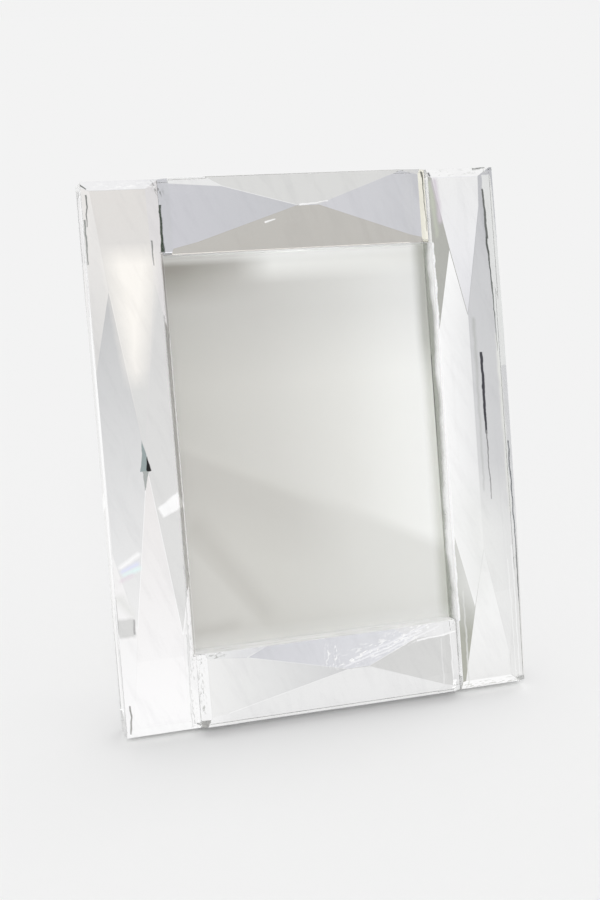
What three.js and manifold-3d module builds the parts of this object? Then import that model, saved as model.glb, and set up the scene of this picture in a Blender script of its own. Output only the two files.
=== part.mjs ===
// Crystal picture frame for a 127 by 178 mm photo, leaning back on a folding easel leg.
// Millimetres, +Z up, the picture faces -Y. Four faceted crystal bars are bonded into a frame:
// two full-height stiles with two rails between them. The pane and the photo card lie in a pocket
// cut in the back of the bars. The velvet-covered back board, which carries the leg, is a push fit
// in the same pocket and pulls straight out.

import * as THREE from 'three';
import { mergeVertices } from 'three/addons/utils/BufferGeometryUtils.js';
import Module from 'manifold-3d';

const wasm = await Module();
wasm.setup();

// Photo, and the stack that lies in the pocket behind the window
const photoWidth = 127;
const photoHeight = 178;
const sightLap = 1.6;
const pocketGap = 0.4;
const seatGap = 0.3;
const paneThickness = 2;
const cardThickness = 0.6;
const cardTrim = 0.3;
const boardThickness = 3.5;
const boardEdgeRadius = 0.6;
const boardCornerRadius = 1.2;

// Crystal bars: depths are measured forward from the flat back
const barWidth = 33;
const edgeDepth = 18.5;
const ridgeRise = 4;
const grindingStock = 3;
const endBevelRun = 4.4;
const endBevelDrop = 3;
const bondLine = 0.3;

// Facets of each bar, as it stands on its lower or left end. A bar's ridge lies its ridgeShift off the
// middle. Each end facet falls from the end of the ridge to the lip of the end bevel. On either side
// of it a corner facet runs from the lip over a vertex and fades out at the side edge
const leftStileRidgeShift = 1;
const leftStileFoot = {
  ridgeRun: 118, fall: 3.7,
  leftInset: 3.2, leftVertexRun: 48, leftFadeRun: 81.5,
  rightInset: 5.6, rightVertexRun: 43, rightFadeRun: 70,
};
const leftStileHead = {
  ridgeRun: 118, fall: 3.7,
  leftInset: 3.2, leftVertexRun: 47, leftFadeRun: 81.5,
  rightInset: 5.6, rightVertexRun: 42, rightFadeRun: 70,
};
const rightStileRidgeShift = -3;
const rightStileFoot = {
  ridgeRun: 65.5, fall: 3.1,
  leftInset: 1.3, leftVertexRun: 38.5, leftFadeRun: 75.5,
  rightInset: 8.6, rightVertexRun: 14.5, rightFadeRun: 74,
};
const rightStileHead = {
  ridgeRun: 67.5, fall: 3.1,
  leftInset: 1.5, leftVertexRun: 37, leftFadeRun: 75.5,
  rightInset: 8.6, rightVertexRun: 18, rightFadeRun: 74,
};
const topRailRidgeShift = -2;
const topRailLeftEnd = {
  ridgeRun: 60.5, fall: 4.1,
  leftInset: 2.3, leftVertexRun: 27.4, leftFadeRun: 19.8,
  rightInset: 2.5, rightVertexRun: 15, rightFadeRun: 20,
};
const topRailRightEnd = {
  ridgeRun: 54, fall: 4.1,
  leftInset: 2.3, leftVertexRun: 12.8, leftFadeRun: 13,
  rightInset: 2.2, rightVertexRun: 10, rightFadeRun: 13,
};
const bottomRailRidgeShift = -2;
const bottomRailLeftEnd = {
  ridgeRun: 68, fall: 3.6,
  leftInset: 2, leftVertexRun: 22, leftFadeRun: 31.5,
  rightInset: 4.3, rightVertexRun: 12, rightFadeRun: 15,
};
const bottomRailRightEnd = {
  ridgeRun: 46, fall: 3.9,
  leftInset: 5.4, leftVertexRun: 22, leftFadeRun: 31.5,
  rightInset: 3, rightVertexRun: 9, rightFadeRun: 13,
};

// Stance: the whole frame leans back on the rear bottom edge of the crystal
const leanAngle = THREE.MathUtils.degToRad(15.8);
const openAngle = THREE.MathUtils.degToRad(30);

// Rivets of the easel hinge
const rivetRadius = 1.2;
const rivetHeadRadius = 2.4;
const rivetHeadHeight = 1.1;
const boardRivetDepth = 2.4;
const turningGap = 0.3;

// Easel hinge
const hingeHeight = 165;
const hingeWidth = 24;
const leafThickness = 0.8;
const barrelRadius = 2.4;
const pinRadius = 1.2;
const pinOverhang = 0.6;
const middleKnuckle = 11;
const plateLength = 14;
const leafLength = 20;
const leafRivetSpread = 6.5;

// Easel leg
const legThickness = 3.2;
const legTopWidth = 40;
const legFootWidth = 54;
const legCornerRadius = 2.5;
const hingeNotchSide = 1.2;
const legEdgeRadius = 0.5;
const footStock = 2;

// Sides of each round piece
const turnedSides = 24;

// Sizes that follow from the ones above
const openingWidth = photoWidth - 2 * sightLap;
const openingHeight = photoHeight - 2 * sightLap;
const frameHeight = openingHeight + 2 * barWidth;
const pocketWidth = photoWidth + 2 * pocketGap;
const pocketHeight = photoHeight + 2 * pocketGap;
const pocketDepth = seatGap + paneThickness + seatGap + cardThickness + seatGap + boardThickness;
const ridgeDepth = edgeDepth + ridgeRise;
const middleHeight = frameHeight / 2;
const holeRadius = rivetRadius + turningGap;
const boreRadius = pinRadius + turningGap;

// Materials
const crystal = { color: 0xf1f4f4, roughness: 0.03, metalness: 0, opacity: 0.35, transparent: true };
const clearGlass = { color: 0xf4f7f6, roughness: 0.03, metalness: 0, opacity: 0.2, transparent: true };
const silverCard = { color: 0xcfccc4, roughness: 0.5, metalness: 0.2 };
const greyVelvet = { color: 0xb9b8b4, roughness: 0.95, metalness: 0 };
const nickel = { color: 0xc6c4be, roughness: 0.28, metalness: 1 };

// A closed three.js geometry as a solid that can be joined and cut
function toSolid(geometry) {
  const bare = geometry.clone();
  bare.deleteAttribute('normal');
  bare.deleteAttribute('uv');
  const merged = mergeVertices(bare, 1e-5);
  return new wasm.Manifold(new wasm.Mesh({
    numProp: 3,
    vertProperties: new Float32Array(merged.attributes.position.array),
    triVerts: new Uint32Array(merged.index.array),
  }));
}

// A solid back as a flat-shaded geometry
function toGeometry(solid) {
  const { vertProperties, triVerts } = solid.getMesh();
  const indexed = new THREE.BufferGeometry();
  indexed.setAttribute('position', new THREE.BufferAttribute(new Float32Array(vertProperties), 3));
  indexed.setIndex(Array.from(triVerts));
  const flat = indexed.toNonIndexed();
  flat.computeVertexNormals();
  return flat;
}

function box(width, depth, height, x, y, z) {
  return new THREE.BoxGeometry(width, depth, height).translate(x, y, z);
}

// A turned piece on an axis along +Y, from a profile of [radius, y] points
function turned(profile) {
  const points = profile.map(([radius, y]) => new THREE.Vector2(radius, y));
  return new THREE.LatheGeometry(points, turnedSides);
}

function rod(radius, from, to) {
  return turned([[0, from], [radius, from], [radius, to], [0, to]]);
}

function alongX(geometry) {
  return geometry.rotateZ(-Math.PI / 2);
}

// Takes off everything beyond the plane through three points, on the side away from a kept point
function grind(solid, points, kept) {
  const plane = new THREE.Plane().setFromCoplanarPoints(...points);
  if (plane.distanceToPoint(kept) > 0) {
    plane.negate();
  }
  const reach = 3 * frameHeight;
  const up = new THREE.Vector3(0, 0, 1);
  const wheel = box(reach, reach, reach, 0, 0, reach / 2);
  wheel.applyQuaternion(new THREE.Quaternion().setFromUnitVectors(up, plane.normal));
  wheel.translate(points[0].x, points[0].y, points[0].z);
  return solid.subtract(toSolid(wheel));
}

// A rounded outline in the X-Z plane, extruded backwards along +Y with softened edges
function roundedPanel(shape, thickness, edgeRadius, front) {
  const options = {
    depth: thickness - 2 * edgeRadius,
    bevelThickness: edgeRadius,
    bevelSize: edgeRadius,
    bevelOffset: -edgeRadius,
    bevelSegments: 2,
    curveSegments: 6,
  };
  const panel = new THREE.ExtrudeGeometry(shape, options);
  panel.rotateX(Math.PI / 2);
  panel.translate(0, front + thickness - edgeRadius, 0);
  return panel;
}

// One crystal bar, standing on its lower end with its back on y = 0
function crystalBar(length, ridgeShift, ends) {
  const half = barWidth / 2;
  const sideSlope = ridgeRise / half;
  const blankDepth = ridgeDepth + grindingStock;
  const kept = new THREE.Vector3(0, 0, length / 2);
  const sideDepth = (side) => ridgeDepth - sideSlope * (half - side * ridgeShift);
  let bar = toSolid(box(barWidth, blankDepth, length, 0, -blankDepth / 2, length / 2));

  for (const side of [-1, 1]) {
    bar = grind(bar, [
      new THREE.Vector3(side * half, -sideDepth(side), 0),
      new THREE.Vector3(side * half, -sideDepth(side), length),
      new THREE.Vector3(ridgeShift, -ridgeDepth, length / 2),
    ], kept);
  }
  for (const [end, facets] of ends.entries()) {
    const { ridgeRun, fall } = facets;
    const corners = [
      [-1, facets.leftInset, facets.leftVertexRun, facets.leftFadeRun],
      [1, facets.rightInset, facets.rightVertexRun, facets.rightFadeRun],
    ];
    const at = (x, depth, run) => new THREE.Vector3(x, -depth, end === 0 ? run : length - run);
    const endSlope = fall / (ridgeRun - endBevelRun);
    const lipDepth = ridgeDepth - fall;
    const lip = [at(-half, lipDepth, endBevelRun), at(half, lipDepth, endBevelRun)];
    bar = grind(bar, [...lip, at(0, ridgeDepth, ridgeRun)], kept);
    bar = grind(bar, [...lip, at(0, lipDepth - endBevelDrop, 0)], kept);
    for (const [side, lipInset, vertexRun, fadeRun] of corners) {
      const vertexFall = endSlope * (ridgeRun - vertexRun);
      bar = grind(bar, [
        at(side * half, sideDepth(side), fadeRun),
        at(ridgeShift + side * vertexFall / sideSlope, ridgeDepth - vertexFall, vertexRun),
        at(side * (half - lipInset), lipDepth, endBevelRun),
      ], kept);
    }
  }
  return bar;
}

// Lays an upright bar along +X, from its left end
function laidFlat(bar) {
  const turn = new THREE.Matrix4().makeRotationY(Math.PI / 2);
  return toSolid(toGeometry(bar).applyMatrix4(turn));
}

function addMesh(parent, name, geometry, finish) {
  const mesh = new THREE.Mesh(geometry, new THREE.MeshStandardMaterial(finish));
  mesh.name = name;
  parent.add(mesh);
}

const frame = new THREE.Group();
frame.rotation.x = -leanAngle;

// The pocket is cut through the backs of all four bars at once
const pocketCutter = toSolid(box(
  pocketWidth, 2 * pocketDepth, pocketHeight,
  0, 0, middleHeight,
));

function addBar(name, bar, x, z) {
  const placed = bar.translate(x, 0, z);
  addMesh(frame, name, toGeometry(placed.subtract(pocketCutter)), crystal);
}

const stileCentre = (openingWidth + barWidth) / 2;
const railLength = openingWidth - 2 * bondLine;
const leftStile = crystalBar(frameHeight, leftStileRidgeShift, [leftStileFoot, leftStileHead]);
const rightStile = crystalBar(frameHeight, rightStileRidgeShift, [rightStileFoot, rightStileHead]);
const topRail = crystalBar(railLength, topRailRidgeShift, [topRailLeftEnd, topRailRightEnd]);
const bottomRail = crystalBar(railLength, bottomRailRidgeShift, [bottomRailLeftEnd, bottomRailRightEnd]);
addBar('left_stile', leftStile, -stileCentre, 0);
addBar('right_stile', rightStile, stileCentre, 0);
addBar('top_rail', laidFlat(topRail), -railLength / 2, frameHeight - barWidth / 2);
addBar('bottom_rail', laidFlat(bottomRail), -railLength / 2, barWidth / 2);

// Pane, photo card and back board, front to back in the pocket
const paneFront = seatGap - pocketDepth;
const cardFront = paneFront + paneThickness + seatGap;
const boardFront = cardFront + cardThickness + seatGap;
const boardBack = boardFront + boardThickness;
addMesh(frame, 'glass_pane', box(
  photoWidth, paneThickness, photoHeight,
  0, paneFront + paneThickness / 2, middleHeight,
), clearGlass);
addMesh(frame, 'photo_card', box(
  photoWidth - cardTrim, cardThickness, photoHeight - cardTrim,
  0, cardFront + cardThickness / 2, middleHeight,
), silverCard);

// A rounded rectangle in the X-Z plane, as the extrusion's own X-Y
function roundedRectangle(left, right, low, high, radius) {
  const shape = new THREE.Shape();
  shape.moveTo(left + radius, low);
  shape.lineTo(right - radius, low);
  shape.absarc(right - radius, low + radius, radius, -Math.PI / 2, 0);
  shape.lineTo(right, high - radius);
  shape.absarc(right - radius, high - radius, radius, 0, Math.PI / 2);
  shape.lineTo(left + radius, high);
  shape.absarc(left + radius, high - radius, radius, Math.PI / 2, Math.PI);
  shape.lineTo(left, low + radius);
  shape.absarc(left + radius, low + radius, radius, Math.PI, 1.5 * Math.PI);
  return shape;
}

// Rivet stations on the hinge plate, as [x, height above the hinge pin]
const plateRivetRise = barrelRadius + plateLength / 2;
const leafRivetDrop = barrelRadius + leafLength * 0.6;

const boardPanel = roundedPanel(
  roundedRectangle(-photoWidth / 2, photoWidth / 2,
    middleHeight - photoHeight / 2, middleHeight + photoHeight / 2, boardCornerRadius),
  boardThickness, boardEdgeRadius, boardFront,
);
let board = toSolid(boardPanel);
for (const side of [-1, 1]) {
  const blindHole = rod(holeRadius, boardBack - boardRivetDepth - seatGap, boardBack + seatGap);
  blindHole.translate(side * leafRivetSpread, 0, hingeHeight + plateRivetRise);
  board = board.subtract(toSolid(blindHole));
}
addMesh(frame, 'back_board', toGeometry(board), greyVelvet);

// A dome-headed rivet: the shank runs from shankEnd to the head, which sits on y = seat
function rivet(shankEnd, seat) {
  const dome = [];
  const steps = 5;
  for (let step = 0; step <= steps; step += 1) {
    const angle = step / steps * Math.PI / 2;
    dome.push([rivetHeadRadius * Math.cos(angle), seat + rivetHeadHeight * Math.sin(angle)]);
  }
  dome[steps][0] = 0;
  return turned([[0, shankEnd], [rivetRadius, shankEnd], [rivetRadius, seat], ...dome]);
}

// Easel hinge: the plate is riveted to the board above the pin, the leaf to the leg below it
const pinY = boardBack + seatGap + barrelRadius;

const leafFace = -barrelRadius;
const leafMiddle = leafFace + leafThickness / 2;
const rivetSeat = leafFace + leafThickness + seatGap;
const outerKnuckle = (hingeWidth - middleKnuckle) / 2 - turningGap;

function knuckle(from, to) {
  return toSolid(alongX(rod(barrelRadius, from, to)));
}

const pinBore = toSolid(alongX(rod(boreRadius, -hingeWidth, hingeWidth)));

function rivetHole(x, z) {
  return toSolid(rod(holeRadius, -hingeWidth, hingeWidth).translate(x, 0, z));
}

function hingePlate() {
  const height = plateLength + barrelRadius;
  let plate = toSolid(box(hingeWidth, leafThickness, height, 0, leafMiddle, height / 2));
  const slotHeight = 2 * (barrelRadius + turningGap);
  plate = plate.subtract(toSolid(box(
    middleKnuckle + 2 * turningGap, slotHeight, slotHeight,
    0, 0, 0,
  )));
  for (const side of [-1, 1]) {
    const inner = middleKnuckle / 2 + turningGap;
    const from = side < 0 ? -inner - outerKnuckle : inner;
    plate = plate.add(knuckle(from, from + outerKnuckle));
    plate = plate.subtract(rivetHole(side * leafRivetSpread, plateRivetRise));
  }
  return toGeometry(plate.subtract(pinBore));
}

function hingeLeaf() {
  const top = -barrelRadius - turningGap;
  let leaf = toSolid(box(hingeWidth, leafThickness, leafLength, 0, leafMiddle, top - leafLength / 2));
  const tongue = leafThickness - top;
  leaf = leaf.add(toSolid(box(middleKnuckle, leafThickness, tongue, 0, leafMiddle, -tongue / 2)));
  leaf = leaf.add(knuckle(-middleKnuckle / 2, middleKnuckle / 2));
  for (const side of [-1, 1]) {
    leaf = leaf.subtract(rivetHole(side * leafRivetSpread, -leafRivetDrop));
  }
  return toGeometry(leaf.subtract(pinBore));
}

const hinge = new THREE.Group();
hinge.position.set(0, pinY, hingeHeight);
frame.add(hinge);
addMesh(hinge, 'hinge_plate', hingePlate(), nickel);
const pinHalf = hingeWidth / 2 + pinOverhang;
addMesh(hinge, 'hinge_pin', alongX(rod(pinRadius, -pinHalf, pinHalf)), nickel);
for (const [where, side] of [['left', -1], ['right', 1]]) {
  const shankEnd = boardBack - boardRivetDepth - pinY;
  const head = rivet(shankEnd, rivetSeat);
  head.translate(side * leafRivetSpread, 0, plateRivetRise);
  addMesh(hinge, `plate_rivet_${where}`, head, nickel);
}

// Leg: a tapered strut whose two shoulders bear on the board when it is open
const leg = new THREE.Group();
leg.rotation.x = openAngle;
hinge.add(leg);
const legFront = rivetSeat;
const legBack = legFront + legThickness;
const boardFromPin = barrelRadius + seatGap;
const shoulderRise = (boardFromPin - seatGap + legFront * Math.cos(openAngle)) / Math.sin(openAngle);
const pinHeight = hingeHeight * Math.cos(leanAngle) - pinY * Math.sin(leanAngle);
const legTilt = openAngle - leanAngle;
const footRun = (y) => (pinHeight + y * Math.sin(legTilt)) / Math.cos(legTilt);

function legGeometry() {
  const top = shoulderRise;
  const foot = -footRun(legBack) - footStock;
  const outline = new THREE.Shape();
  outline.moveTo(-legFootWidth / 2, foot);
  outline.lineTo(legFootWidth / 2, foot);
  outline.lineTo(legTopWidth / 2, top - legCornerRadius);
  outline.absarc(legTopWidth / 2 - legCornerRadius, top - legCornerRadius, legCornerRadius, 0, Math.PI / 2);
  outline.lineTo(-legTopWidth / 2 + legCornerRadius, top);
  outline.absarc(-legTopWidth / 2 + legCornerRadius, top - legCornerRadius, legCornerRadius,
    Math.PI / 2, Math.PI);
  let body = toSolid(roundedPanel(outline, legThickness, legEdgeRadius, legFront));
  const notchWidth = hingeWidth + 2 * hingeNotchSide;
  const notchDepth = barrelRadius + turningGap;
  body = body.subtract(toSolid(box(
    notchWidth, 4 * legThickness, top + notchDepth + legThickness,
    0, 0, (top + legThickness - notchDepth) / 2,
  )));
  for (const side of [-1, 1]) {
    body = body.subtract(rivetHole(side * leafRivetSpread, -leafRivetDrop));
  }
  const floorPoint = (x, y) => new THREE.Vector3(x, y, -footRun(y));
  const kept = new THREE.Vector3(0, 0, 0);
  body = grind(body, [floorPoint(0, legFront), floorPoint(1, legFront), floorPoint(0, legBack)], kept);
  return toGeometry(body);
}

addMesh(leg, 'hinge_leaf', hingeLeaf(), nickel);
addMesh(leg, 'easel_leg', legGeometry(), greyVelvet);
for (const [where, side] of [['left', -1], ['right', 1]]) {
  const head = rivet(leafFace, legBack + seatGap);
  head.translate(side * leafRivetSpread, 0, -leafRivetDrop);
  addMesh(leg, `leg_rivet_${where}`, head, nickel);
}

// The origin moves to the table, under the middle of the whole object
const group = new THREE.Group();
group.add(frame);
group.updateMatrixWorld(true);
const reachBox = new THREE.Box3().setFromObject(group, true);
frame.position.y = -(reachBox.min.y + reachBox.max.y) / 2;

export default group;
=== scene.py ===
"""Looks of the crystal picture frame: cut crystal bars, pane, card, velvet and nickel."""

import math

import bmesh
import bpy
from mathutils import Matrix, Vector


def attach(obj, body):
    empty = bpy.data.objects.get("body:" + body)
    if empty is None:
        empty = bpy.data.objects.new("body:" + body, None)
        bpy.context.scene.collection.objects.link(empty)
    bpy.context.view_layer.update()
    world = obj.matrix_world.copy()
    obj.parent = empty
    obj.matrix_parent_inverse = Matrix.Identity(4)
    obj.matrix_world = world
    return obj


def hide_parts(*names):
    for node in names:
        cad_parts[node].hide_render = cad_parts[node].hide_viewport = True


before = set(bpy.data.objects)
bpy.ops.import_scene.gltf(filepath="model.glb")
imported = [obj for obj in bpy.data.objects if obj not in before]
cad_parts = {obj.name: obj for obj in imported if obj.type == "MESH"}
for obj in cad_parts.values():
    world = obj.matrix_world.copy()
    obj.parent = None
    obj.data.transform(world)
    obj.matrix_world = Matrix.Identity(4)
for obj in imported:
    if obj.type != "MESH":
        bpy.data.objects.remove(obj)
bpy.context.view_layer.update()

ROOT = "crystal_frame"
scene = bpy.context.scene

# Camera of the photograph, a 600 by 900 frame, fitted to the corners and facets of the object
LENS = 52.78
SENSOR_HEIGHT = 36.0
NEAREST = 0.01
CAMERA_PLACE = Vector((-0.1638, -0.5562, 0.3084))
CAMERA_AZIMUTH = math.radians(-16.27)
CAMERA_ELEVATION = math.radians(18.76)

# The leaning frame: its own axes, and the foot of its back
MM = 0.001
LEAN = math.radians(15.8)
ACROSS = Vector((1, 0, 0))
UP_FRAME = Vector((0, math.sin(LEAN), math.cos(LEAN)))
OUT_FRONT = Vector((0, -math.cos(LEAN), math.sin(LEAN)))
FOOT = Vector((0, -36.0015 * MM, 0))

# Studio: floor and sky as the camera sees them, as the crystal shows them, and as they light
BACKDROP = 0.895
WHITE_FLOOR = 1.0
GLOW_SHARE = 0.95
SKY = 0.63
WHITE_SKY = 0.95
FLOOR_REACH = 30.0
WHITE = (1, 1, 1)


def grey(level):
    return (level, level, level)


class Tree:
    """Short calls that build a node tree. A value is a number, a colour or a node's output."""

    def __init__(self, tree):
        self.tree = tree

    def add(self, kind, **settings):
        node = self.tree.nodes.new(kind)
        for key, value in settings.items():
            setattr(node, key, value)
        return node

    def link(self, source, target):
        self.tree.links.new(source, target)

    def feed(self, value, socket):
        if isinstance(value, bpy.types.NodeSocket):
            self.link(value, socket)
        elif isinstance(value, tuple):
            socket.default_value = (*value, 1)
        else:
            socket.default_value = value

    def math(self, operation, first, second=0.0):
        node = self.add("ShaderNodeMath", operation=operation)
        self.feed(first, node.inputs[0])
        self.feed(second, node.inputs[1])
        return node.outputs[0]

    def product(self, values):
        """Plain or linked numbers, multiplied."""
        result, *others = values
        for value in others:
            result = self.math("MULTIPLY", result, value)
        return result

    def blend(self, kind, factor, first, second):
        node = self.add("ShaderNodeMix", data_type="RGBA", blend_type=kind)
        self.feed(factor, node.inputs[0])
        self.feed(first, node.inputs[6])
        self.feed(second, node.inputs[7])
        return node.outputs[2]

    def mix_shaders(self, factor, first, second):
        node = self.add("ShaderNodeMixShader")
        for socket, value in zip(node.inputs, (factor, first, second)):
            self.link(value, socket)
        return node.outputs[0]

    def ramp(self, factor, stops):
        node = self.add("ShaderNodeValToRGB")
        elements = node.color_ramp.elements
        while len(elements) < len(stops):
            elements.new(0.5)
        for element, (place, colour) in zip(elements, stops):
            element.position = place
            element.color = (*colour, 1)
        self.link(factor, node.inputs["Fac"])
        return node.outputs["Color"]

    def remap(self, value, low, high, to_low, to_high):
        node = self.add("ShaderNodeMapRange")
        names = ("From Min", "From Max", "To Min", "To Max")
        for name, number in zip(names, (low, high, to_low, to_high)):
            node.inputs[name].default_value = number
        self.link(value, node.inputs["Value"])
        return node.outputs["Result"]

    def soft_step(self, value, start, end):
        """0 at the start, 1 at the end."""
        return self.remap(value, start, end, 0.0, 1.0)

    def spread(self, noise, low, high):
        """Noise, which mostly lies between 0.3 and 0.7, spread out from low to high."""
        return self.remap(noise, 0.3, 0.7, low, high)


class Material(Tree):
    """A material with one main shader. Places on the frame are in millimetres."""

    def __init__(self, name, **values):
        self.material = bpy.data.materials.new(name)
        self.material.use_nodes = True
        super().__init__(self.material.node_tree)
        self.shader = self.tree.nodes["Principled BSDF"]
        self.output = self.tree.nodes["Material Output"]
        for key, value in values.items():
            self.shader.inputs[key.replace("_", " ")].default_value = value

    def colour(self, value):
        self.link(value, self.shader.inputs["Base Color"])

    def roughness(self, value):
        self.link(value, self.shader.inputs["Roughness"])

    def surface(self, shader):
        self.link(shader, self.output.inputs["Surface"])

    def bump(self, height, strength, distance):
        node = self.add("ShaderNodeBump")
        node.inputs["Strength"].default_value = strength
        node.inputs["Distance"].default_value = distance
        self.link(height, node.inputs["Height"])
        self.link(node.outputs["Normal"], self.shader.inputs["Normal"])

    def mapped(self, vector, kind, place=(0, 0, 0), turn=(0, 0, 0), scale=(1, 1, 1)):
        node = self.add("ShaderNodeMapping", vector_type=kind)
        node.inputs["Location"].default_value = place
        node.inputs["Rotation"].default_value = turn
        node.inputs["Scale"].default_value = scale
        self.link(vector, node.inputs["Vector"])
        return node.outputs["Vector"]

    def place(self, scale=(1, 1, 1)):
        """A point of the object, in metres, stretched by the scale."""
        point = self.add("ShaderNodeTexCoord").outputs["Object"]
        return self.mapped(point, "POINT", scale=scale)

    def frame_place(self):
        """A point in the frame's own axes: right, up the frame, out of its front."""
        point = self.add("ShaderNodeTexCoord").outputs["Object"]
        return self.mapped(point, "TEXTURE", FOOT, (math.pi / 2 - LEAN, 0, 0), (MM, MM, MM))

    def turned(self, vector, centre=(0, 0), angle=0.0, size=(1, 1, 1)):
        """The same place, counted from a centre on the face, along and across an angled line.
        A stretch of the size counts as 1."""
        return self.mapped(vector, "TEXTURE", (*centre, 0), (0, 0, math.radians(angle)), size)

    def axes(self, vector):
        node = self.add("ShaderNodeSeparateXYZ")
        self.link(vector, node.inputs[0])
        return node.outputs

    def noise_node(self, vector, scale=1.0, detail=4.0, roughness=0.5):
        node = self.add("ShaderNodeTexNoise")
        node.inputs["Scale"].default_value = scale
        node.inputs["Detail"].default_value = detail
        node.inputs["Roughness"].default_value = roughness
        self.link(vector, node.inputs["Vector"])
        return node.outputs

    def noise(self, vector, **settings):
        return self.noise_node(vector, **settings)["Fac"]

    def ragged(self, vector, size, reach):
        """The same place, shifted by noise of a size, up to half the reach each way."""
        wander = self.noise_node(vector, scale=1 / size)["Color"]
        centred = self.add("ShaderNodeVectorMath", operation="SUBTRACT")
        self.link(wander, centred.inputs[0])
        centred.inputs[1].default_value = grey(0.5)
        shifted = self.add("ShaderNodeVectorMath", operation="MULTIPLY_ADD")
        self.link(centred.outputs["Vector"], shifted.inputs[0])
        shifted.inputs[1].default_value = grey(reach)
        self.link(vector, shifted.inputs[2])
        return shifted.outputs["Vector"]

    def mark(self, place, centre, angle, length, width, soft, taper=0.0):
        """A soft-edged bar on the face. Its width shrinks by taper from its start to its end."""
        run, off, _ = self.axes(self.turned(place, centre, angle))
        off = self.math("ABSOLUTE", off)
        if taper:
            narrowing = self.math("MULTIPLY", run, taper * width / length / 2)
            off = self.math("ADD", off, narrowing)
        half = (1 - taper / 2) * width / 2
        inside = self.soft_step(off, half + soft, half - soft)
        run = self.math("ABSOLUTE", run)
        along = self.soft_step(run, length / 2 + soft, length / 2 - soft)
        return self.math("MULTIPLY", inside, along)

    def ragged_patch(self, place, centre, angle, length, width, soft):
        """A patch of short ragged lines, longer than they are wide."""
        local = self.turned(place, centre, angle, size=PATCH_LINE_SIZE)
        lines = self.soft_step(self.noise(local, detail=5.0, roughness=0.6), *PATCH_LINE_EDGE)
        return self.math("MULTIPLY", lines, self.mark(place, centre, angle, length, width, soft))

    def lets_lamps_through(self, colour):
        """Glass that light shines through: shadow and diffuse rays meet a clear sheet instead."""
        path = self.add("ShaderNodeLightPath").outputs
        passes = self.math("MAXIMUM", path["Is Shadow Ray"], path["Is Diffuse Ray"])
        clear = self.add("ShaderNodeBsdfTransparent")
        self.feed(colour, clear.inputs["Color"])
        self.surface(self.mix_shaders(passes, self.shader.outputs[0], clear.outputs[0]))
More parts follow.
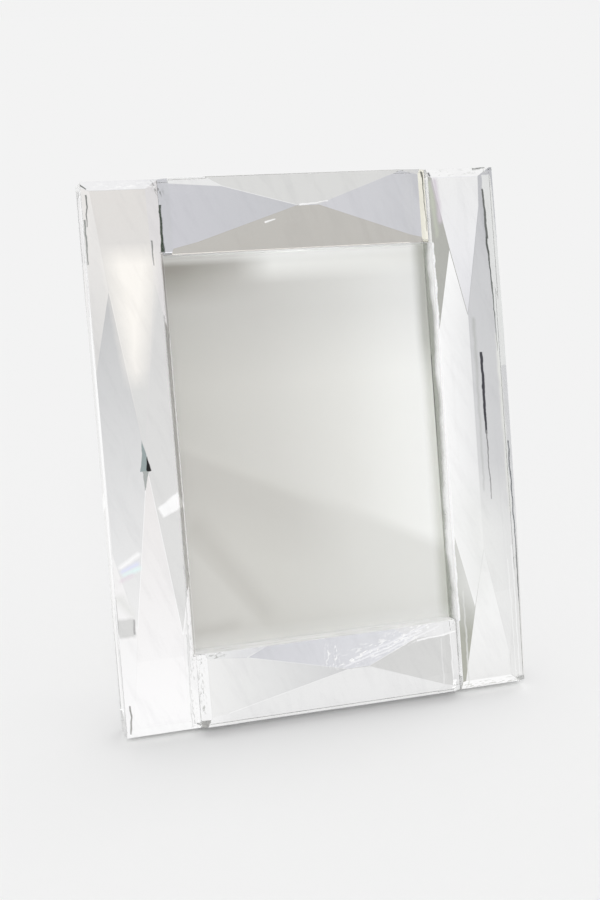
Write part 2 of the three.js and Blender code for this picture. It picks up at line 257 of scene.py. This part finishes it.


# Painted glints, reflections and shade on the front facets, and dark marks at the joints: centre in
# mm, angle, length, width, softness, taper and colour. A later one covers an earlier one
GLEAMS = [
    # left stile: painted reflections: cream glow, dark sliver at the middle of the X, flare, rainbow
    # and grey block below it
    ((-77.4, 182.0), -93.0, 54, 20.0, 4.5, 0.85, (1.0, 0.94, 0.85)),
    ((-78.4, 122.6), 90, 13.6, 3.8, 0.15, 1.0, (0.10, 0.14, 0.14)),
    ((-76.9, 119.0), 97, 6.6, 2.2, 0.15, 0.9, (0.0, 0.0, 0.0)),
    ((-78.4, 112.0), -96, 8.0, 2.6, 0.15, 0.9, (0.17, 0.19, 0.18)),
    ((-68.0, 99.8), 26, 11.0, 4.6, 0.5, -0.5, WHITE),
    ((-87.9, 78.0), 32, 11.0, 1.6, 0.8, 0.0, WHITE),
    ((-87.9, 75.0), 26, 9.0, 1.8, 0.9, 0.0, (0.60, 0.64, 0.92)),
    ((-87.2, 73.0), 26, 8.5, 1.8, 0.9, 0.0, (0.66, 0.92, 0.90)),
    ((-89.6, 70.6), 26, 7.0, 1.4, 0.9, 0.0, (0.68, 0.56, 0.64)),
    ((-90.8, 58.0), -60, 12.0, 5.0, 1.5, 0.5, (0.70, 0.70, 0.68)),
    ((-91.6, 48.6), 0, 7.2, 8.0, 0.7, 0.0, (0.50, 0.50, 0.49)),
    ((-88.3, 48.8), 90, 6.5, 0.9, 0.3, 0.0, (0.20, 0.20, 0.20)),
    # left stile: painted dark reflections: lines at the top, faint upright ones and a dark dash at
    # the foot
    ((-93.1, 228.0), -91.7, 13.5, 0.8, 0.15, 0.5, (0.05, 0.055, 0.05)),
    ((-94.3, 215.0), -91, 19.0, 0.8, 0.15, 0.3, (0.10, 0.11, 0.10)),
    ((-94.0, 238.3), -42, 3.6, 1.0, 0.15, 0.4, (0.03, 0.035, 0.03)),
    ((-66.7, 208.8), -88, 10.8, 0.8, 0.2, 0.5, (0.07, 0.075, 0.07)),
    ((-64.6, 58.0), -91, 60.0, 0.5, 0.2, 0.5, (0.42, 0.43, 0.42)),
    ((-65.9, 22.0), -91, 42.0, 0.5, 0.2, 0.5, (0.50, 0.51, 0.50)),
    ((-93.0, 8.5), -92, 13.0, 0.8, 0.2, 0.2, (0.10, 0.10, 0.09)),
    # joints: dark lines at the top, specks at their heads and a green edge beside the right one
    ((-61.5, 219.5), -91, 21.0, 1.3, 0.2, -0.6, (0.002, 0.004, 0.002)),
    ((60.7, 226.0), -88.7, 27.0, 0.9, 0.25, 0.5, (0.01, 0.013, 0.005)),
    ((59.9, 238.6), -80, 3.0, 1.2, 0.3, 0.0, (0.03, 0.03, 0.02)),
    ((63.0, 238.0), -80, 2.2, 1.1, 0.3, 0.0, (0.03, 0.03, 0.03)),
    ((63.4, 222.0), -86, 26.0, 2.0, 0.9, 0.7, (0.30, 0.33, 0.24)),
    # right stile: painted shade, greyer on the lower part of the long slope and darker in the middle
    # of the outer slope, and a painted violet reflection along an edge
    ((73.0, 66.0), 90, 56.0, 18.0, 11.0, 0.0, (0.74, 0.75, 0.73)),
    ((87.0, 138.0), 90, 96.0, 20.0, 16.0, 0.0, (0.385, 0.39, 0.405)),
    ((65.6, 226.0), -86, 20.0, 1.8, 1.0, 0.4, (0.44, 0.37, 0.45)),
    # right stile: painted reflections: black line and the grey one that it lies on, a white
    # highlight along the inner edge, faint upright lines
    ((78.1, 132.0), -90.5, 80.0, 1.6, 0.8, 0.9, (0.27, 0.28, 0.27)),
    ((91.2, 122.0), -89.3, 84.0, 1.4, 0.9, 0.3, (0.66, 0.67, 0.61)),
    ((81.2, 137.0), -90, 38.0, 1.7, 0.15, 0.3, (0.002, 0.002, 0.003)),
    ((81.3, 104.0), -90, 32.0, 0.8, 0.2, 0.5, (0.06, 0.06, 0.06)),
    ((62.1, 120.0), 90, 174.0, 0.8, 0.2, 0.0, WHITE),
    ((88.8, 30.0), -89, 58.0, 0.4, 0.3, 0.3, (0.85, 0.85, 0.84)),
    ((91.4, 34.0), -89, 62.0, 0.5, 0.3, 0.3, (0.90, 0.90, 0.90)),
    ((57.6, 15.0), 90, 26.0, 0.5, 0.3, 0.3, (0.95, 0.95, 0.95)),
    ((52.6, 14.0), 90, 24.0, 0.4, 0.3, 0.3, (0.68, 0.68, 0.68)),
    ((64.8, 24.0), 90, 46.0, 0.5, 0.3, 0.3, (0.60, 0.61, 0.58)),
    # right stile: painted reflections: pale strip along the outer wall, dark lines beside it and a
    # dark dash at the top
    ((92.4, 193.0), -88.1, 88.0, 5.4, 0.2, 0.0, (0.60, 0.61, 0.60)),
    ((88.6, 219.0), -88.6, 23.0, 1.0, 0.15, -0.6, (0.02, 0.022, 0.02)),
    ((89.2, 197.0), -86.6, 23.0, 1.1, 0.15, 0.4, (0.01, 0.012, 0.01)),
    ((90.2, 172.0), -88.8, 32.0, 0.9, 0.15, 0.8, (0.03, 0.034, 0.03)),
    ((93.3, 76.0), -89.5, 76.0, 0.8, 0.15, 0.4, (0.04, 0.044, 0.05)),
    ((88.0, 240.3), 1, 6.5, 0.8, 0.15, 0.3, (0.02, 0.022, 0.02)),
    # top rail: two small glints
    ((6.1, 227.0), 5, 13.4, 0.6, 0.25, 0.5, WHITE),
    ((-14.0, 220.2), 16, 5.3, 0.6, 0.25, 0.5, WHITE),
    # bottom rail: painted white highlight streaks
    ((24.0, 25.0), 14.7, 40.0, 0.4, 0.5, 0.5, (0.95, 0.95, 1.0)),
    ((28.0, 27.6), 14.7, 38.0, 0.6, 0.5, 0.5, (0.92, 0.92, 0.98)),
    ((35.0, 26.6), 14.7, 36.0, 0.3, 0.5, 0.5, (0.95, 0.95, 0.98)),
    ((50.6, 27.0), 3, 21.0, 0.7, 0.2, 0.0, WHITE),
]

# Lines of a ragged patch: their size in mm, and the noise where a line starts and where it is full
PATCH_LINE_SIZE = (3.2, 1.1, 1.1)
PATCH_LINE_EDGE = (0.53, 0.62)

# Ragged patches on the front facets: centre in mm, angle, length, width, softness and colour
# Dark specks at the joints, and painted highlights, sheen and reflections elsewhere
SPECKS_AND_SHEEN = [
    # heads of the stiles: dark specks at the left joint, a painted highlight on the left stile and a
    # darker painted reflection on the right one
    ((-62.4, 237.0), -70, 7.0, 3.4, 1.2, (0.03, 0.034, 0.03)),
    ((-78.0, 238.2), 0, 30.0, 2.4, 1.0, WHITE),
    ((78.0, 238.6), 1, 28.0, 2.6, 1.0, (0.50, 0.51, 0.49)),
    # bottom rail: painted highlight and sheen, and dark specks near its left end
    ((-0.5, 25.0), 75, 9.0, 6.0, 2.0, WHITE),
    ((26.0, 27.0), 14.7, 50.0, 6.0, 2.5, WHITE),
    ((-55.0, 31.4), 6, 12.0, 2.0, 0.8, (0.16, 0.17, 0.15)),
    # lower left joint and the foot of the right stile
    ((-60.4, 20.0), 90, 30.0, 2.4, 0.8, (0.26, 0.27, 0.25)),
    ((-64.5, 25.0), 90, 50.0, 3.0, 1.0, (0.55, 0.56, 0.55)),
    ((78.0, 1.6), 1, 30.0, 3.0, 1.0, (0.42, 0.43, 0.38)),
]

# Crystal: its index, the wobble of its marks, its faint striae, and the shade in the depth of the
# inner wall of the right stile, which starts at a wavy line
CRYSTAL_INDEX = 1.52
WOBBLE_SIZE = 6.0
WOBBLE_REACH = 1.8
STRIAE_ANGLE = -68
STRIAE_SIZE = (26, 5, 12)
STRIAE = [(0.30, (0.90, 0.90, 0.905)), (0.52, WHITE)]
WALL_SHADE = (0.13, 0.14, 0.11)
WALL_SHADE_DEPTH = (16.4, 11.0)
WALL_WAVE = 3.0
WALL_WAVE_SIZE = (40, 22, 40)

# Light that a lamp sends through the crystal, less near the table, where facets turn it aside
LIGHT_HEIGHT = (3.0, 20.0)
LIGHT_THROUGH = [(0.0, grey(0.48)), (1.0, grey(0.91))]


def crystal_material():
    n = Material("crystal", Roughness=0.0, IOR=CRYSTAL_INDEX, Transmission_Weight=1.0)
    # Painted shade of each facet, standing for what it reflects and refracts
    shading = n.add("ShaderNodeAttribute", attribute_name="facet_shading").outputs
    wall = n.add("ShaderNodeAttribute", attribute_name="shaded_wall").outputs
    place = n.frame_place()
    _, up, out = n.axes(place)
    colour = shading["Color"]
    uneven = n.ragged(place, WOBBLE_SIZE, WOBBLE_REACH)
    # Painted glints, reflections, sheen and shade, and dark marks at the joints, laid over the facet
    # shades
    for table, shape in ((GLEAMS, n.mark), (SPECKS_AND_SHEEN, n.ragged_patch)):
        for *form, shade in table:
            share = n.math("MULTIPLY", shape(uneven, *form), shading["Alpha"])
            colour = n.blend("MIX", share, colour, shade)
    along_striae = n.turned(place, angle=STRIAE_ANGLE, size=STRIAE_SIZE)
    streak = n.noise(along_striae, detail=5.0, roughness=0.6)
    colour = n.blend("MULTIPLY", shading["Alpha"], colour, n.ramp(streak, STRIAE))
    wave = n.noise(n.turned(place, size=WALL_WAVE_SIZE), detail=3.0)
    depth = n.math("ADD", out, n.spread(wave, -WALL_WAVE, WALL_WAVE))
    shaded = n.math("MULTIPLY", n.soft_step(depth, *WALL_SHADE_DEPTH), wall["Fac"])
    n.colour(n.blend("MIX", shaded, colour, WALL_SHADE))
    n.lets_lamps_through(n.ramp(n.soft_step(up, *LIGHT_HEIGHT), LIGHT_THROUGH))
    return n.material


# Matt-ground edges: the size of a grinding streak in mm, and its colours from dull to bright
GRINDING_SIZE = (14, 1, 0.9)
GRINDING = [(0.36, (0.70, 0.71, 0.69)), (0.50, (0.97, 0.975, 0.965)), (0.62, WHITE)]


def ground_material():
    """Matt-ground edge of the crystal, with streaks along it."""
    n = Material("ground_crystal")
    streak = n.noise(n.turned(n.frame_place(), size=GRINDING_SIZE), detail=3.0)
    n.colour(n.ramp(streak, GRINDING))
    n.roughness(n.spread(streak, 0.5, 0.35))
    return n.material


# Pane: its tint, its index, and the share of a lamp's light that passes it
PANE_TINT = (0.985, 0.99, 0.985)
PANE_INDEX = 1.5
PANE_LIGHT = grey(0.94)


def pane_material():
    """Clear float glass."""
    n = Material("pane_glass", Base_Color=(*PANE_TINT, 1), Roughness=0.0, IOR=PANE_INDEX,
                 Transmission_Weight=1.0)
    n.lets_lamps_through(PANE_LIGHT)
    return n.material


# Fine textures: how many grains there are to a metre, and their colours from low to high
FIBRE_SCALE = 1400.0
FIBRES = [(0.3, grey(0.975)), (0.7, WHITE)]
NAP_SCALE = 2400.0
NAP = [(0.3, (0.76, 0.755, 0.74)), (0.75, (0.86, 0.855, 0.84))]
BRUSHING_SCALE = 700.0
BRUSHING = [(0.3, (0.60, 0.585, 0.56)), (0.7, (0.72, 0.70, 0.67))]

# Card: its colour with painted light, darker on the left and lighter on the right, above and below
# the slanting edge of the light
CARD_HALF_WIDTH = 62.0
LIT_CARD = [(0.0, (0.56, 0.548, 0.513)), (0.35, (0.655, 0.645, 0.615)),
            (0.65, (0.78, 0.775, 0.745)), (0.85, (0.90, 0.90, 0.875)), (1.0, (0.98, 0.98, 0.965))]
SHADED_CARD = [(0.0, (0.60, 0.585, 0.55)), (0.35, (0.645, 0.635, 0.60)),
               (0.65, (0.72, 0.715, 0.685)), (1.0, (0.81, 0.81, 0.785))]

# Slanting edges on the card: how far they fall for each mm to the right, and where the light starts
# and is full, measured up the frame at its middle
SLANT = 0.496
WEDGE_SLANT = 1.28
LIGHT_EDGE = (94.0, 101.0)

# Soft bands of painted shade on the card, written as the gleams are
SHADE_BANDS = [
    ((-40.5, 67.0), -55, 58, 10.0, 4.0, 0.3, (0.90, 0.895, 0.89)),
    ((-49.0, 41.0), 5, 22, 4.0, 2.5, 0.0, (0.90, 0.895, 0.89)),
]

# Zones of painted light and shade on the card: how the colour joins in, the colour, and where the
# zone starts and is full, along one or more axes, in mm
CARD_ZONES = [
    # painted shade, darkest just below the slanting edge
    ("MULTIPLY", (0.905, 0.90, 0.90),
     ("slant", 96.0, 91.0), ("slant", 56.0, 82.0), ("right", 20.0, -8.0)),
    # upper part, painted darker, with a painted pale band, a painted shadow in the corner at its top
    # and a painted highlight along its top edge
    ("MULTIPLY", (0.865, 0.865, 0.87), ("up", 150.0, 182.0)),
    ("MIX", (0.87, 0.87, 0.845), ("up", 194.0, 202.0), ("right", -28.0, -10.0)),
    ("MULTIPLY", (0.55, 0.53, 0.49), ("up", 185.0, 202.0), ("right", -12.0, -54.0)),
    ("SCREEN", (0.42, 0.42, 0.41), ("up", 203.8, 206.4)),
    # right margin, darkened by painted shade from the wall beside it
    ("MULTIPLY", (0.76, 0.77, 0.73), ("right", 57.0, 61.8)),
    ("MULTIPLY", (0.74, 0.74, 0.73), ("right", 55.5, 60.0), ("up", 140.0, 165.0)),
    # painted light on the lower left corner and along the lower margin
    ("SCREEN", (0.06, 0.06, 0.06), ("wedge", 7.0, 3.0)),
    ("SCREEN", (0.36, 0.36, 0.35), ("up", 40.0, 32.0)),
]


def card_material():
    """Pearl card. Soft light lies across it, cut off by a slanting edge."""
    n = Material("silver_card")
    place = n.frame_place()
    right, up, _ = n.axes(place)
    across = n.soft_step(right, -CARD_HALF_WIDTH, CARD_HALF_WIDTH)
    axes = {
        "right": right,
        "up": up,
        "slant": n.math("ADD", up, n.math("MULTIPLY", right, SLANT)),
        "wedge": n.math("ADD", up, n.math("MULTIPLY", right, WEDGE_SLANT)),
    }
    # Painted light and shade: lit above the slanting edge, shaded below it, lighter to the right
    lit = n.soft_step(axes["slant"], *LIGHT_EDGE)
    colour = n.blend("MIX", lit, n.ramp(across, SHADED_CARD), n.ramp(across, LIT_CARD))
    # Bands of painted shade
    for *form, shade in SHADE_BANDS:
        colour = n.blend("MULTIPLY", n.mark(place, *form), colour, shade)
    # Zones of painted light and shade
    for kind, shade, *edges in CARD_ZONES:
        share = n.product(n.soft_step(axes[axis], start, full) for axis, start, full in edges)
        colour = n.blend(kind, share, colour, shade)
    fibre = n.noise(n.place(scale=(1, 1, 6)), scale=FIBRE_SCALE, detail=3.0)
    n.colour(n.blend("MULTIPLY", 1.0, colour, n.ramp(fibre, FIBRES)))
    n.roughness(n.spread(fibre, 0.42, 0.5))
    n.bump(fibre, 0.15, 0.05 * MM)
    return n.material


def velvet_material():
    n = Material("velvet", Roughness=0.95, Sheen_Weight=0.6)
    nap = n.noise(n.place(), scale=NAP_SCALE)
    n.colour(n.ramp(nap, NAP))
    n.bump(nap, 0.4, 0.4 * MM)
    return n.material


def nickel_material():
    n = Material("nickel", Metallic=1.0)
    grain = n.noise(n.place(scale=(1, 1, 12)), scale=BRUSHING_SCALE, detail=3.0)
    n.colour(n.ramp(grain, BRUSHING))
    n.roughness(n.spread(grain, 0.22, 0.36))
    return n.material


# Crystal bars: the direction along each bar, the direction towards the window, and the painted shade
# of each facet, standing for what it reflects and refracts, at its lower and upper, or left and
# right, end. low and high are the ends of the bar
BARS = {
    "left_stile": (UP_FRAME, ACROSS, {
        "low_end": ((1, 0.99, 1), (0.70, 0.66, 0.65)),
        "high_end": ((0.53, 0.535, 0.53), (0.60, 0.565, 0.53)),
        "outer_slope": ((0.78, 0.78, 0.78), (0.305, 0.31, 0.32)),
        "inner_slope": ((0.61, 0.61, 0.60), (0.50, 0.495, 0.49)),
        "low_outer": ((1, 0.99, 1), (0.84, 0.82, 0.82)),
        "low_inner": (WHITE, (0.80, 0.78, 0.78)),
        "high_outer": ((0.52, 0.51, 0.50), (0.76, 0.73, 0.70)),
        "high_inner": ((0.57, 0.545, 0.55), (0.57, 0.545, 0.55)),
        "high_bevel": ((0.80, 0.80, 0.82), (0.80, 0.80, 0.82)),
    }),
    "right_stile": (UP_FRAME, -ACROSS, {
        "low_end": ((0.74, 0.74, 0.73), WHITE),
        "high_end": ((0.74, 0.74, 0.80), (0.76, 0.76, 0.76)),
        "outer_slope": ((0.72, 0.72, 0.71), (0.33, 0.335, 0.36)),
        "inner_slope": (WHITE, WHITE),
        "low_outer": ((0.70, 0.70, 0.69), (0.50, 0.50, 0.49)),
        "low_inner": ((0.20, 0.205, 0.16), (0.20, 0.205, 0.16)),
        "high_outer": ((0.29, 0.295, 0.32), (0.29, 0.295, 0.32)),
        "high_inner": ((0.205, 0.207, 0.18), (0.205, 0.207, 0.18)),
        "high_bevel": (grey(0.90), grey(0.90)),
    }),
    "top_rail": (ACROSS, -UP_FRAME, {
        "low_end": ((0.38, 0.38, 0.425), (0.335, 0.34, 0.37)),
        "high_end": ((0.43, 0.43, 0.47), (0.375, 0.38, 0.415)),
        "outer_slope": ((0.52, 0.52, 0.505), (0.52, 0.52, 0.505)),
        "inner_slope": ((0.273, 0.256, 0.226), (0.273, 0.256, 0.226)),
        "low_outer": (grey(0.70), grey(0.70)),
        "high_outer": (grey(0.50), grey(0.50)),
        "low_inner": ((0.273, 0.256, 0.226), (0.273, 0.256, 0.226)),
        "high_inner": ((0.273, 0.256, 0.226), (0.273, 0.256, 0.226)),
        "low_bevel": ((0.36, 0.365, 0.40), (0.36, 0.365, 0.40)),
        "high_bevel": ((0.80, 0.77, 0.60), (0.86, 0.82, 0.66)),
    }),
    "bottom_rail": (ACROSS, UP_FRAME, {
        "low_end": ((0.80, 0.80, 0.79), (0.445, 0.45, 0.46)),
        "high_end": ((0.475, 0.475, 0.465), (0.50, 0.50, 0.49)),
        "outer_slope": (grey(0.71), grey(0.71)),
        "inner_slope": ((0.45, 0.455, 0.505), (0.60, 0.61, 0.66)),
        "low_outer": (grey(0.88), grey(0.70)),
        "low_inner": ((0.74, 0.75, 0.74), (0.56, 0.56, 0.60)),
        "high_outer": (grey(0.62), grey(0.76)),
        "high_inner": ((0.60, 0.60, 0.62), grey(0.84)),
        "low_bevel": (grey(0.93), grey(0.93)),
        "high_bevel": (grey(0.72), grey(0.72)),
    }),
}
CLEAR = grey(0.99)
SHADED_WALL = "right_stile"
GROUND = {"bottom_rail": "inner_wall", "left_stile": "end_face", "right_stile": "end_face"}

# Making of the bars: width of the ground arrises, and the angles and distance that tell facets
# apart from the seams within one
ARRIS = 0.15 * MM
ARRIS_ANGLE = math.radians(3)
SEAM_ANGLE = math.radians(0.1)
SAME_POINT = 0.001 * MM

# Cosines that tell the cuts of a bar apart: steep to the front, level across, level along
STEEP = 0.4
LEVEL_ACROSS = 0.01
LEVEL_ALONG = 0.0015


def facet_name(normal, place, along, inward):
    """Which cut of the bar a face belongs to."""
    run = normal.dot(along)
    lean = normal.dot(inward)
    out = normal.dot(OUT_FRONT)
    if out < -STEEP:
        return "back"
    if out < STEEP:
        if abs(run) > STEEP:
            return "end_face"
        return "inner_wall" if lean > 0 else "outer_wall"
    end = "high" if place > 0 else "low"
    side = "inner" if lean > 0 else "outer"
    if abs(run) > STEEP:
        return end + "_bevel"
    if abs(lean) < LEVEL_ACROSS:
        return end + "_end"
    if abs(run) < LEVEL_ALONG:
        return side + "_slope"
    return end + "_" + side


def merge_facets(mesh):
    """Joins the triangles of each facet into one face."""
    shell = bmesh.new()
    shell.from_mesh(mesh)
    bmesh.ops.remove_doubles(shell, verts=shell.verts, dist=SAME_POINT)
    bmesh.ops.dissolve_limit(shell, angle_limit=SEAM_ANGLE, verts=shell.verts, edges=shell.edges)
    shell.to_mesh(mesh)
    shell.free()


def grind_arrises(piece):
    bevel = piece.modifiers.new("arris", "BEVEL")
    bevel.width = ARRIS
    bevel.segments = 1
    bevel.limit_method = "ANGLE"
    bevel.angle_limit = ARRIS_ANGLE
    bpy.context.view_layer.objects.active = piece
    piece.select_set(True)
    bpy.ops.object.modifier_apply(modifier=bevel.name)
    piece.select_set(False)


def shade_facets(mesh, node):
    """Writes each facet's painted shade, in alpha whether it faces front, and which wall is shaded.
    """
    along, inward, shadings = BARS[node]
    shading = mesh.attributes.new("facet_shading", "FLOAT_COLOR", "CORNER").data
    shaded = mesh.attributes.new("shaded_wall", "FLOAT", "FACE").data
    places = [vertex.co.dot(along) for vertex in mesh.vertices]
    middle = (min(places) + max(places)) / 2
    for face in mesh.polygons:
        face.use_smooth = False
        name = facet_name(face.normal, face.center.dot(along) - middle, along, inward)
        front = face.normal.dot(OUT_FRONT) > STEEP
        shaded[face.index].value = name == "inner_wall" and node == SHADED_WALL
        face.material_index = name == GROUND.get(node)
        low_shading, high_shading = (Vector(colour) for colour in shadings.get(name, (CLEAR, CLEAR)))
        reach = [places[vertex] for vertex in face.vertices]
        low, span = min(reach), max(max(reach) - min(reach), MM)
        for loop in face.loop_indices:
            share = (places[mesh.loops[loop].vertex_index] - low) / span
            shading[loop].color = (*low_shading.lerp(high_shading, share), front)


def cut_bar(node, materials):
    """A copy of a crystal bar with ground arrises and facets of painted shade, which stands for it.
    """
    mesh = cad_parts[node].data.copy()
    piece = bpy.data.objects.new(node + "_crystal", mesh)
    scene.collection.objects.link(piece)
    merge_facets(mesh)
    mesh.materials.clear()
    for material in materials:
        mesh.materials.append(material)
    grind_arrises(piece)
    shade_facets(mesh, node)
    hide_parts(node)
    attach(piece, ROOT)


def dress(names, material):
    """Gives solids that stay as they are their material."""
    for name in names:
        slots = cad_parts[name].data.materials
        slots.clear()
        slots.append(material)


def studio_floor():
    """Pale floor. Where the crystal shows it, it is white, and nearly all of that is glow."""
    corners = [(-FLOOR_REACH, -FLOOR_REACH, 0), (FLOOR_REACH, -FLOOR_REACH, 0),
               (FLOOR_REACH, FLOOR_REACH, 0), (-FLOOR_REACH, FLOOR_REACH, 0)]
    mesh = bpy.data.meshes.new("floor")
    mesh.from_pydata(corners, [], [(0, 1, 2, 3)])
    floor = bpy.data.objects.new("floor", mesh)
    scene.collection.objects.link(floor)
    n = Material("floor", Roughness=1.0, Specular_IOR_Level=0.0)
    path = n.add("ShaderNodeLightPath").outputs
    n.colour(n.blend("MIX", path["Is Camera Ray"], grey(WHITE_FLOOR), grey(BACKDROP)))
    glow = n.add("ShaderNodeEmission")
    n.feed(grey(WHITE_FLOOR), glow.inputs["Color"])
    share = n.math("MULTIPLY", path["Is Transmission Ray"], GLOW_SHARE)
    n.surface(n.mix_shaders(share, n.shader.outputs[0], glow.outputs[0]))
    mesh.materials.append(n.material)


def studio_sky():
    """Plain grey light, and the pale background. The crystal shows a whiter sky."""
    world = bpy.data.worlds.new("studio")
    scene.world = world
    world.use_nodes = True
    n = Tree(world.node_tree)
    path = n.add("ShaderNodeLightPath").outputs
    colour = grey(SKY)
    for ray, level in (("Is Camera Ray", BACKDROP), ("Is Transmission Ray", WHITE_SKY)):
        colour = n.blend("MIX", path[ray], colour, grey(level))
    n.link(colour, n.tree.nodes["Background"].inputs["Color"])


def lamp(name, azimuth, elevation, spread, strength):
    """A far, soft lamp. Azimuth 0 is in front of the frame, and 90 is on its right."""
    light = bpy.data.lights.new(name, "SUN")
    light.angle = math.radians(spread)
    light.energy = strength
    holder = bpy.data.objects.new(name, light)
    scene.collection.objects.link(holder)
    turn, rise = math.radians(azimuth), math.radians(elevation)
    level = math.cos(rise)
    towards = Vector((math.sin(turn) * level, -math.cos(turn) * level, math.sin(rise)))
    holder.rotation_euler = (-towards).to_track_quat("-Z", "Y").to_euler()


def camera():
    data = bpy.data.cameras.new("camera")
    data.sensor_fit = "VERTICAL"
    data.sensor_height = SENSOR_HEIGHT
    data.lens = LENS
    data.clip_start = NEAREST
    holder = bpy.data.objects.new("camera", data)
    scene.collection.objects.link(holder)
    holder.location = CAMERA_PLACE
    holder.rotation_euler = (math.pi / 2 - CAMERA_ELEVATION, 0, CAMERA_AZIMUTH)
    scene.camera = holder


CRYSTAL = [crystal_material(), ground_material()]
for bar in BARS:
    cut_bar(bar, CRYSTAL)

METAL = ("hinge_", "plate_rivet", "leg_rivet")
dress(["glass_pane"], pane_material())
dress(["photo_card"], card_material())
dress(["back_board", "easel_leg"], velvet_material())
dress([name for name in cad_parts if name.startswith(METAL)], nickel_material())

studio_floor()
studio_sky()
lamp("key", azimuth=-16, elevation=38, spread=25, strength=1.3)
lamp("top", azimuth=140, elevation=66, spread=30, strength=0.4)
camera()
scene.view_settings.view_transform = "Standard"
